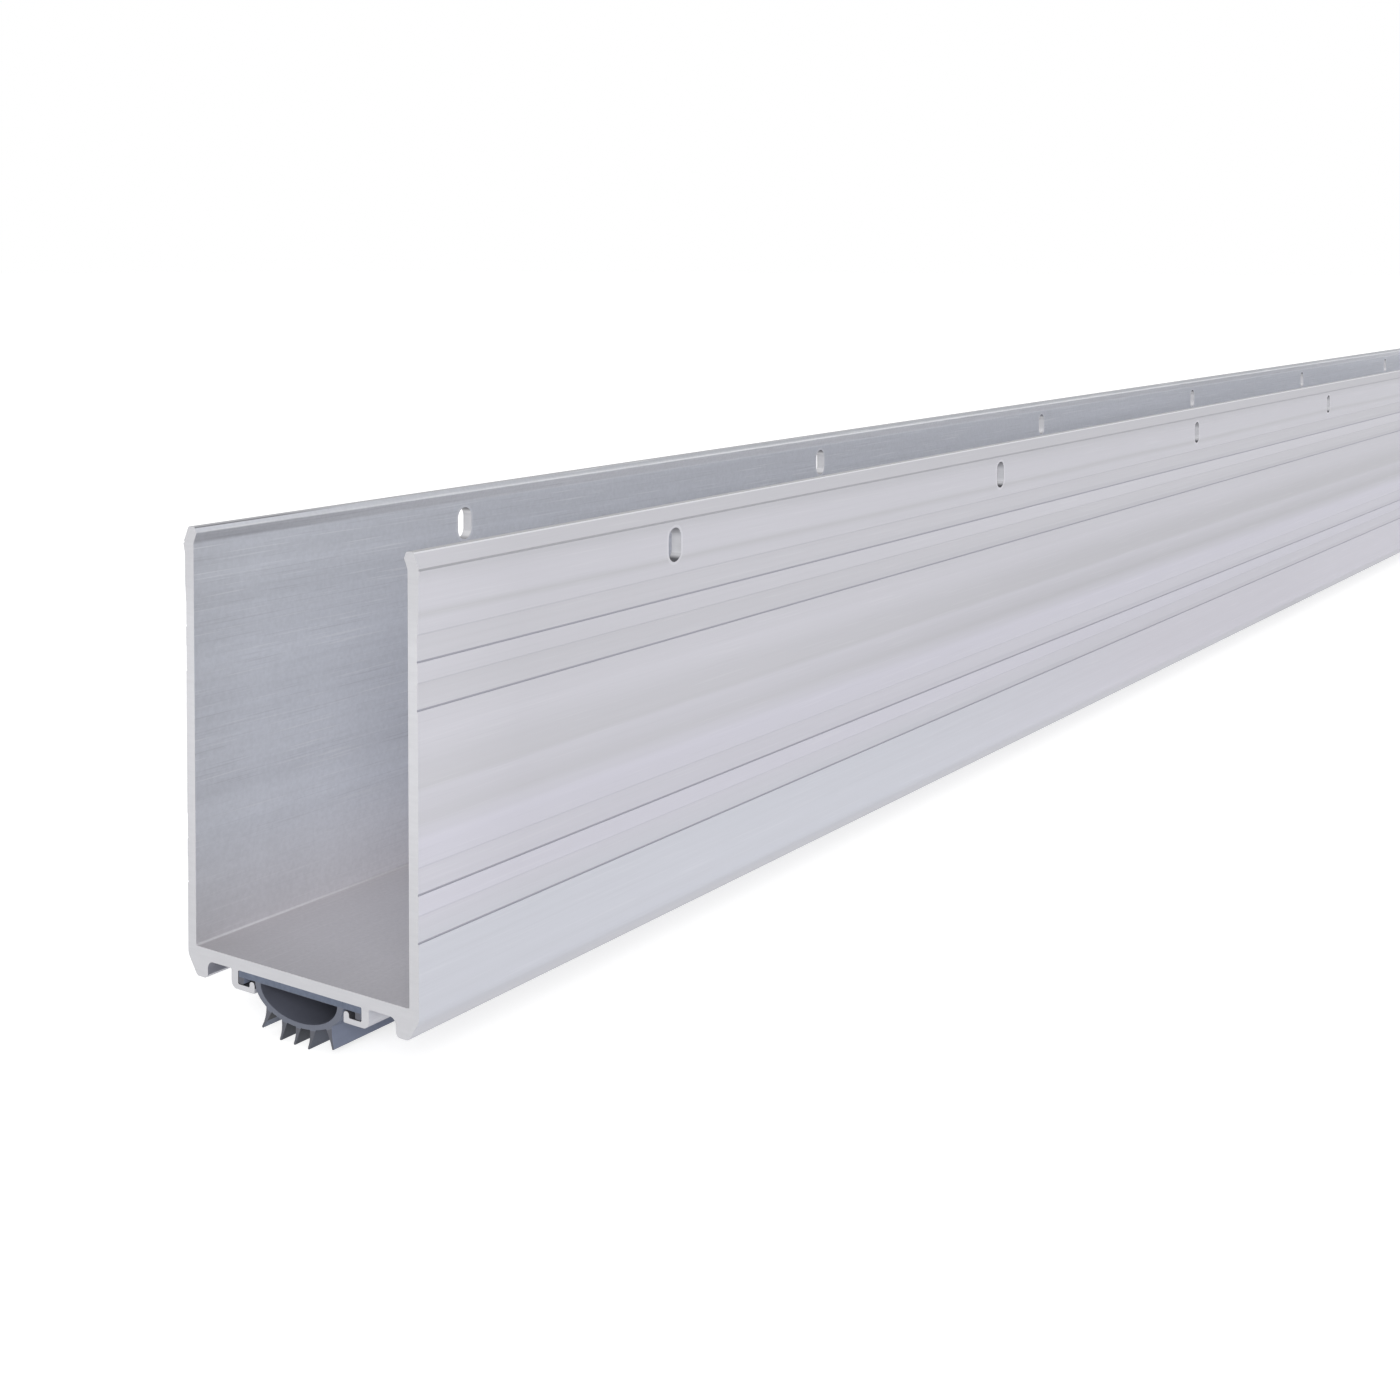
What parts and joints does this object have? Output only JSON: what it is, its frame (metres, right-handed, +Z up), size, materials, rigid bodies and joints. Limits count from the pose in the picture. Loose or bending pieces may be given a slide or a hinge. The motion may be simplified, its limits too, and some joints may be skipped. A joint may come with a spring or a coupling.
{
  "type": "u-shaped door bottom seal",
  "caption": "Long aluminium U channel that wraps a door's bottom edge, with slotted legs and a hollow finned vinyl seal held in a track under its web.",
  "frame": {"origin": "centre of the channel's inner floor, where the door's bottom edge seats", "axes": "+X along the door's bottom edge, +Y across the door's thickness, +Z up, out of the channel's mouth"},
  "size_m": [0.9144, 0.0508, 0.0781],
  "materials": {
    "mill_aluminium": "satin",
    "grey_vinyl": "matte"
  },
  "bodies": {
    "root": {"u_channel": "mill_aluminium", "fin_seal": "grey_vinyl"}
  },
  "joints": []
}
